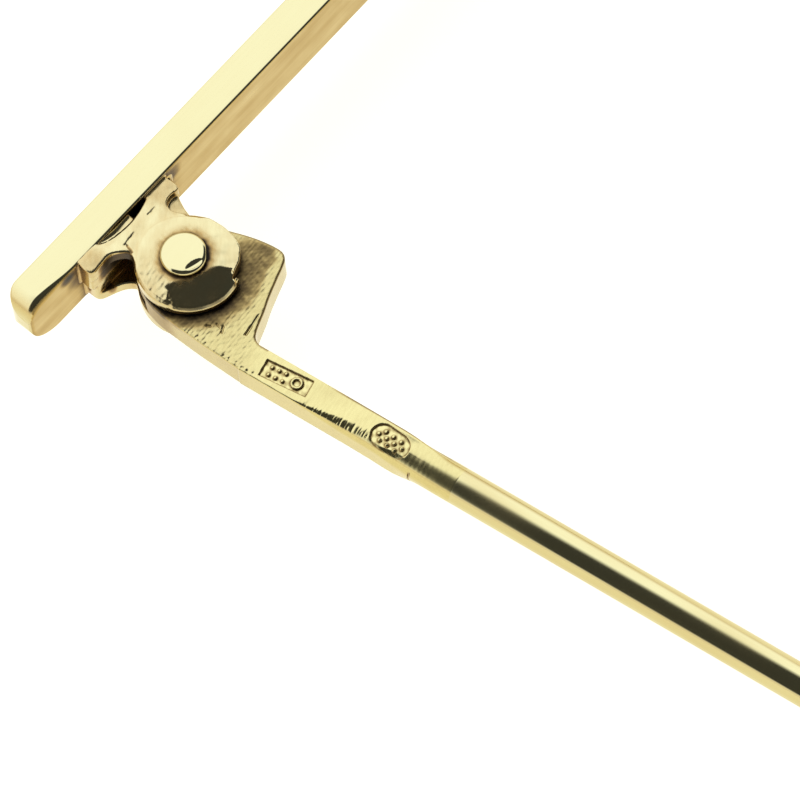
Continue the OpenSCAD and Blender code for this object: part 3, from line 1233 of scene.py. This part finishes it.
@dataclass
class Pin:
    """The pin in one piece: tongue and shoulder, filed and punched shank, round wire, point."""

    length: float = 43.0
    wire_r: float = 0.5
    offset: float = 1.31
    taper: float = 4.0
    point_r: float = 0.1
    half_thick: float = 0.46
    shank_from: float = 2.75
    seam: float = 7.9
    half_height: float = 0.425
    bore_r: float = 0.38
    tongue_r: float = 1.26
    panel_depth: float = 0.06
    groove_r: float = 0.03
    groove_half: float = 0.34
    join: float = 9.1
    # Where the head's own start of the wire ends, inside the drawn wire.
    hidden_end: float = 9.5

    # Lower edge of the tongue from its round back: p, q.
    lower_edge: Rows = (
        (-0.49, -1.2), (-0.25, -1.36), (0.25, -1.5), (1.39, -1.63), (2.09, -1.68), (2.73, -1.72),
        (3.2, -1.735),
    )
    # Shoulder and upper edge of the tongue, back to its round back: p, q.
    shoulder: Rows = (
        (3.2, -0.885), (2.9, -0.89), (2.69, -0.8), (2.57, -0.57), (2.45, -0.06), (2.33, 0.37),
        (2.22, 0.88), (2.14, 1.28), (2.07, 1.47), (1.92, 1.59), (1.64, 1.61), (1.25, 1.57),
        (0.9, 1.5), (0.46, 1.38), (0, 1.26),
    )
    # Nicks in the tongue's face: start p, q, end p, q, half width.
    nicks: Table = (
        (2.385, -0.221, 2.412, -0.844, 0.018),
        (2.4, -0.56, 2.412, -0.84, 0.034),
        (1.42, -1.16, 1.52, -1.12, 0.03),
        (1.62, -0.98, 1.78, -1.04, 0.025),
        (1.8, -0.95, 1.86, -1.12, 0.03),
    )

    def outline(self) -> Array:
        """The tongue's outline, without its round back."""
        return np.vstack([smooth_rows(self.lower_edge), smooth_rows(self.shoulder)])

    def panels(self, p: Array, q: Array) -> Array:
        """Distance to the sunk floors of both panels, round the plain ring and pips on them.

        Args:
            p, q: Places along the pin and towards the bar.

        Returns:
            Signed distances in the plane.
        """

        def own_axes(mid_p: float, mid_q: float, turn_deg: float) -> tuple[Array, Array]:
            """Places along and across a panel."""
            turn, dp, dq = math.radians(turn_deg), p - mid_p, q - mid_q
            return (dp * math.cos(turn) + dq * math.sin(turn),
                    dq * math.cos(turn) - dp * math.sin(turn))

        u, v = own_axes(3.95, -1.3, 5)
        ring = np.abs(np.hypot(u - 0.3, v) - 0.13) - 0.035
        spots = [(x, y) for x in (-0.46, -0.26, -0.06) for y in (-0.11, 0.11)]
        pips = [np.hypot(u - x, v - y) - 0.045 for x, y in spots]
        edge = np.maximum(np.abs(u) - 0.67, np.abs(v) - 0.24)
        box = np.maximum(edge, -np.minimum.reduce([ring, *pips]))
        u, v = own_axes(7.12, -1.36, -5)
        spots = [(x, y) for x in (-0.24, 0.0, 0.24) for y in (-0.14, 0.14)]
        spots += [(x, 0.0) for x in (-0.36, -0.12, 0.12, 0.36)]
        pips = [np.hypot(u - x, v - y) - 0.05 for x, y in spots]
        edge = np.hypot(np.maximum(np.abs(u) - 0.22, 0), v) - 0.33
        return np.minimum(box, np.maximum(edge, -np.minimum.reduce(pips)))

    def swell(self, p: Array) -> Array:
        """How far the shank's face has risen towards the thicker wire."""
        return (self.wire_r - 0.005 - self.half_thick) * smoothstep(4.8, 7.4, p)

    def ticks(self, p: Array, q: Array) -> Array:
        """Depth of the file ticks and pits along the lower edge.

        Args:
            p, q: Places along the pin and towards the bar.

        Returns:
            Depths.
        """
        rng = np.random.default_rng(7)
        depth = 0.0
        foot = -1.74 + 0.2 * smoothstep(4.9, 6.6, p)
        for _ in range(44):
            at, reach = rng.uniform(4.7, 6.6), rng.uniform(0.05, 0.3)
            lean, half = rng.uniform(-0.05, 0.12), rng.uniform(0.009, 0.015)
            here = np.exp(-(((p - at - lean * (q + 1.7)) / half) ** 2))
            here = here * smoothstep(foot + reach, foot, q) * smoothstep(foot - 0.1, foot, q)
            depth = depth + rng.uniform(0.002, 0.007) * here
        low_p, low_q = np.transpose(self.lower_edge)
        for at in np.sort(rng.uniform(0.9, 3.3, 20)):
            up = np.interp(at, low_p, low_q) + rng.uniform(0.05, 0.12)
            half = rng.uniform(0.02, 0.04)
            depth = depth + 0.006 * np.exp(-(((p - at) ** 2 + (q - up) ** 2) / half**2))
        return depth

    def metal(self, p: Array, q: Array, z: Array) -> Array:
        """Distance to the pin's head: its tongue, shank and the start of its wire.

        Args:
            p, q, z: Places along the pin, towards the bar and up.

        Returns:
            Signed distances.
        """
        # The tongue, a plate with a round back, and its scratched face.
        rivet = np.hypot(p, q)
        tongue = np.minimum(outline_distance(self.outline(), p, q), rivet - self.tongue_r)
        scratched = smoothstep(3.3, 2.5, p) * ripple(p, 0.6 * q, 0 * p, 0.1, 42)
        scratched = scratched * (1 + 1.2 * smoothstep(2.3, 1.9, rivet))
        top = self.half_thick + 0.0008 * ripple(p, q, 0 * p, 0.35, 41) + 0.0012 * scratched
        top = top + self.swell(p)
        plate = slab(tongue, z, -self.half_thick, top, 0.04)
        # The shank, whose upper edges grow rounder towards the wire.
        dq = q + self.offset
        ease = 0.3 * smoothstep(4.2, 6.3, p) + 0.12 * smoothstep(6.9, 7.5, p)
        ease = ease * smoothstep(0.05, -0.1, dq)
        ease = ease + 0.08 * smoothstep(5.0, 7.9, p) * smoothstep(0.0, 0.2, dq)
        ease = 0.03 + ease * (z > 0)
        half = self.half_height + 0.035 * smoothstep(6.0, 7.7, p) * smoothstep(0.1, -0.1, dq)
        strip = np.maximum(np.abs(dq) - half, self.shank_from - p)
        shank = slab(strip, z, -self.half_thick, top, ease)
        # The start of the wire, scraped where the shank was filed down to it.
        drawn = np.hypot(dq, z) - self.wire_r
        drawn = drawn + 0.03 * smoothstep(self.join + 0.02, self.join + 0.2, p)
        into = smoothstep(self.seam - 0.7, self.join - 0.3, p)
        scraped = 0.0003 * ripple(p, 0.3 * q, 0 * p, 0.12, 43) * smoothstep(0.2, 0.4, z)
        blended = shank * (1 - into) + drawn * into + scraped * into * (1 - into) * 4
        body = np.minimum(plate, np.maximum(blended, p - self.hidden_end))
        # The bore, the panels, the nicks and the seam.
        body = soft_cut(body, rivet - self.bore_r, 0.02)
        low = self.half_thick + self.swell(p) - self.panel_depth
        body = soft_cut(body, np.maximum(self.panels(p, q), low - z), 0.012)
        for p0, q0, p1, q1, half in self.nicks:
            cut = stroke(p, q, z, (p0, q0, self.half_thick), (p1, q1, self.half_thick)) - half
            body = soft_cut(body, cut, 0.015)
        groove = np.hypot(p - self.seam - 0.08 * z, dq + 0.455) - self.groove_r
        body = soft_cut(body, np.maximum(groove, np.abs(z) - self.groove_half), 0.01)
        return body + self.ticks(p, q) * smoothstep(0.25, 0.4, z)

    def tarnish_and_shade(self, points: Array, shut: Array) -> Array:
        """How dark the gold is by tarnish and painted shade, from 0 where clean to 1 nearly black.

        Args:
            points: Points of the surface.
            shut: How far each is shut in.

        Returns:
            The patina and painted shade of each point.
        """
        p, q, z = points.T
        top = z > 0.3
        rim = outline_distance(self.outline(), p, q)
        sunk = self.panels(p, q)
        floor = smoothstep(0.03, -0.01, sunk) * top * smoothstep(0.46, 0.41, z - self.swell(p))
        # The stain that the ear keeps from the cloth, with the ear's painted shadow on it: below
        # the ear, and beside it.
        past_ear = np.hypot(p - 0.12, q + 0.02) - 1.33 + 0.05 * ripple(p, q, 0 * p, 0.3, 44)
        way = np.degrees(np.arctan2(q + 0.02, p - 0.12))
        below = smoothstep(30, -20, way)
        beside = 0.34 * smoothstep(0.8, 0.5, past_ear - 0.25 * smoothstep(22, 42, way))
        beside = beside * smoothstep(70, 46, way)
        worn = np.interp(q, [1.0, 1.4], [0.34, 0.12])
        reach = np.interp(way, [-170, -140, -90, -60, -40], [0.42, 0.4, 0.34, 0.48, 0.7])
        depth = np.interp(way, [-160, -130, -90], [0.42, 0.52, 0.62])
        stain_and_shadow = below * depth * smoothstep(0, 1, (reach - past_ear) / (reach - 0.08))
        stain_and_shadow += (1 - below) * beside * (1 - 0.8 * smoothstep(-worn, 0.1 - worn, rim))
        streaks = 0.06 * ripple(p * 0.3, q, 0 * p, 0.16, 45) + 0.06 * ripple(p, q, 0 * p, 0.5, 46)
        streaks = streaks + 0.07 * ripple(p, q, 0 * p, 0.11, 49)
        # Grime and painted shade in the corners, the panels' floors and the low walls by the rivet.
        grime_and_shade = np.where(top, (0.25 + 0.1 * below) * (1 - 0.4 * floor), 0.7)
        patina_and_shade = 0.05 + 0.08 * smoothstep(3.4, 2.4, p) + grime_and_shade * shut**1.2
        patina_and_shade += top * (stain_and_shadow + streaks * smoothstep(0.05, 0.4, stain_and_shadow))
        patina_and_shade += floor * 0.14 * ripple(p, q, z, 0.12, 47)
        patina_and_shade += 0.25 * ~top * smoothstep(0.9, 0.3, p)
        # Dark lines round the panels, on the shoulder's edge and on the shank's upper edge.
        patina_and_shade += 0.35 * smoothstep(0.035, 0.0, np.abs(sunk + 0.01)) * (z > 0.36)
        lip = smoothstep(0.07, 0.0, np.abs(rim))
        patina_and_shade += 0.4 * lip * (z > 0.4) * (p < 3.15) * smoothstep(-1.2, -0.9, q)
        upper = smoothstep(0.05, 0.0, np.abs(q + self.offset - self.half_height + 0.02))
        return patina_and_shade + 0.5 * upper * smoothstep(4.8, 5.8, p) * top

    def head(self, near: Field, finish: Material) -> None:
        """Builds and dresses the tongue and shank.

        Args:
            near: Distance to the metal round it, in the brooch's axes.
            finish: Its finish.
        """
        shell = skin(
            self.metal,
            spaced([(-1.36, 0.034), (0.8, 0.022), (8.3, 0.03)], 9.62),
            spaced([(-1.86, 0.02), (-0.84, 0.034)], 1.72),
            spaced([(-0.56, 0.05), (0.33, 0.018)], 0.56),
        )

        def around(p: Array, q: Array, z: Array) -> Array:
            """The brooch and the pin together, in the pin's axes."""
            there = BROOCH_AXES.pull(PIN_AXES.place(np.column_stack([p, q, z])))
            return np.minimum(near(*there.T), self.metal(p, q, z))

        patina_and_shade = self.tarnish_and_shade(shell.points, shelter(around, shell, (0.06, 0.16, 0.4)))
        make_piece("pin_head", Body.PIN, Slot.DRAWN, shell, patina_and_shade, finish, stands_for="pin_stem")

    def wire(self, finish: Material) -> None:
        """Builds the round wire and its point.

        Args:
            finish: Its finish.
        """
        thin_from = self.length - self.taper
        profile = [(self.join - 0.25, 0.46), (self.join - 0.06, 0.4985), (self.join + 0.05, 0.5)]
        profile += [(p, self.wire_r) for p in np.arange(self.join + 0.5, thin_from, 0.5)]
        share = np.linspace(0, 1, 24)
        tip = self.length - self.point_r
        profile += [
            (thin_from + s * (tip - thin_from), self.wire_r + (self.point_r - self.wire_r) * s)
            for s in share
        ]
        profile += [
            (tip + self.point_r * math.sin(t), self.point_r * math.cos(t))
            for t in np.linspace(0.2, 1.5, 7)
        ]
        shell = turned(profile, (0.0, -self.offset, 0.0), 0)
        p, q, z = shell.points.T
        patina_and_shade = 0.04 + 0.05 * ripple(p * 0.2, q, z, 0.6, 51)
        make_piece("pin_wire", Body.PIN, Slot.DRAWN, shell, patina_and_shade, finish)


@dataclass
class Studio:
    """The pale floor, the soft light all round and the camera."""

    lens_mm: float = 258.0
    distance_mm: float = 145.7
    aim_right: float = 5.486
    aim_down: float = 3.652
    floor_mm: float = 1500.0
    roll: float = math.radians(5.25)
    tilt: float = math.radians(24.04)
    turn: float = math.radians(-44.54)
    # Light of the white tent overhead, of its foot by the table and of the dark gap that the
    # camera looks in through: red, green and blue.
    tent: Colour = (1.48, 1.63, 1.93, 1.0)
    foot: Colour = (1.08, 1.03, 0.98, 1.0)
    gap: Colour = (0.056, 0.061, 0.068, 1.0)
    floor_glow: Colour = (1.04, 1.02, 0.88, 1.0)
    floor_matt: Colour = (0.3, 0.3, 0.3, 1.0)
    gap_way: tuple[float, float, float] = (-0.089, -0.952, 0.291)
    gap_half_deg: float = 88.0
    gap_soft_deg: float = 3.5
    # Heights above the table, in degrees, between which the foot turns into the tent and
    # the dark gap begins.
    wall_deg: tuple[float, float] = (2, 26)
    gap_deg: tuple[float, float] = (6, 17)

    def camera(self) -> None:
        """Places the camera as it was for the photograph."""
        along = Vector((math.cos(self.turn), math.sin(self.turn), 0))
        away = Vector((math.sin(self.turn), -math.cos(self.turn), 0))
        up = Vector((0, 0, 1))
        fall = math.cos(self.tilt) * away - math.sin(self.tilt) * up
        back = math.cos(self.tilt) * up + math.sin(self.tilt) * away
        right = math.cos(self.roll) * along + math.sin(self.roll) * fall
        down = -math.sin(self.roll) * along + math.cos(self.roll) * fall
        anchor = Vector((RIVET_X, RIVET_Y, RIVET_Z + 0.9))
        target = anchor + self.aim_right * right + self.aim_down * down
        data = bpy.data.cameras.new("camera")
        data.lens, data.sensor_width = self.lens_mm, 36
        data.clip_start, data.clip_end = 0.01, 10
        camera = bpy.data.objects.new("camera", data)
        turn = Matrix((right, -down, back)).transposed()
        camera.matrix_world = Matrix.Translation(
            (target + back * self.distance_mm) / 1000
        ) @ turn.to_4x4()
        bpy.context.scene.collection.objects.link(camera)
        bpy.context.scene.camera = camera

    def floor(self) -> None:
        """Lays the plain pale floor."""
        half = self.floor_mm / 2000
        mesh = bpy.data.meshes.new("floor")
        mesh.from_pydata(
            [(-half, -half, 0), (half, -half, 0), (half, half, 0), (-half, half, 0)], [],
            [(0, 1, 2, 3)],
        )
        # Matt acrylic lit from below: an even pale glow in which shadows nearly vanish.
        material = bpy.data.materials.new("floor_backlit_acrylic")
        node = empty_tree(material)
        matt = node("ShaderNodeBsdfDiffuse", {"Color": self.floor_matt})
        glow = node("ShaderNodeEmission", {"Color": self.floor_glow})
        both = node("ShaderNodeAddShader", {0: matt, 1: glow})
        node("ShaderNodeOutputMaterial", {"Surface": both})
        mesh.materials.append(material)
        piece = bpy.data.objects.new("floor", mesh)
        bpy.context.scene.collection.objects.link(piece)
        piece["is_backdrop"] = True

    def world(self) -> None:
        """Sets up the white surroundings, darker on the side that the camera looks in from."""
        world = bpy.data.worlds.new("studio")
        bpy.context.scene.world = world
        node = empty_tree(world)
        way = node("ShaderNodeTexCoord").outputs["Generated"]
        rise = node("ShaderNodeSeparateXYZ", {0: way}).outputs[2]
        gap_way = Vector(self.gap_way).normalized()
        toward = node(
            "ShaderNodeVectorMath", {0: way, 1: gap_way}, operation="DOT_PRODUCT"
        ).outputs["Value"]
        half, soft = self.gap_half_deg, self.gap_soft_deg
        # Smooth steps between two angles, tested by their sines or cosines.
        climb, inside, above = (
            node(
                "ShaderNodeMapRange",
                {"Value": value, "From Min": turn(math.radians(low)),
                 "From Max": turn(math.radians(high))},
                interpolation_type="SMOOTHSTEP",
                clamp=True,
            )
            for value, low, high, turn in (
                (rise, *self.wall_deg, math.sin),
                (toward, half + soft, half - soft, math.cos),
                (rise, *self.gap_deg, math.sin),
            )
        )
        wall = node(
            "ShaderNodeMix", {"Factor": climb, 6: self.foot, 7: self.tent}, data_type="RGBA"
        ).outputs[2]
        shade = node("ShaderNodeMath", {0: inside, 1: above}, operation="MULTIPLY")
        seen = node(
            "ShaderNodeMix", {"Factor": shade, 6: wall, 7: self.gap}, data_type="RGBA"
        ).outputs[2]
        shader = node("ShaderNodeBackground", {"Color": seen, "Strength": 1.0})
        node("ShaderNodeOutputWorld", {"Surface": shader})
        bpy.context.scene.view_settings.view_transform = "Standard"


def main() -> None:
    """Builds every piece in order."""
    logging.basicConfig(level=logging.INFO, format="%(message)s")
    gold = {way: way.value.material() for way in Gold}
    bar, saddle, catch, rivet, pin, pearl = Bar(), Saddle(), Catch(), Rivet(), Pin(), Pearl()

    def brooch(a: Array, h: Array, z: Array) -> Array:
        """Distance to the bar, saddle and rivet."""
        fixed = np.minimum(bar.distance(a, h, z), saddle.metal(a, h, z))
        return np.minimum(fixed, rivet.metal(a, h, z))

    def hinge(a: Array, h: Array, z: Array) -> Array:
        """Distance to everything by the hinge, the open pin too."""
        there = PIN_AXES.pull(BROOCH_AXES.place(np.column_stack([a, h, z])))
        return np.minimum(brooch(a, h, z), pin.metal(*there.T))

    bar.build(hinge, gold[Gold.BUFFED], gold[Gold.STREAKED])
    saddle.build(bar, hinge, gold[Gold.CAST])
    catch.build(bar, gold[Gold.CAST])
    pearl.cup(bar, gold[Gold.BUFFED])
    pearl.build(bar, Nacre().material())
    rivet.build(gold[Gold.BUFFED])
    pin.head(brooch, gold[Gold.FILED])
    pin.wire(gold[Gold.DRAWN])
    studio = Studio()
    studio.camera()
    studio.floor()
    studio.world()
    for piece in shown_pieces():
        log.info("built %s: %d faces", piece.name, len(piece.data.polygons))


if __name__ == "__main__":
    main()
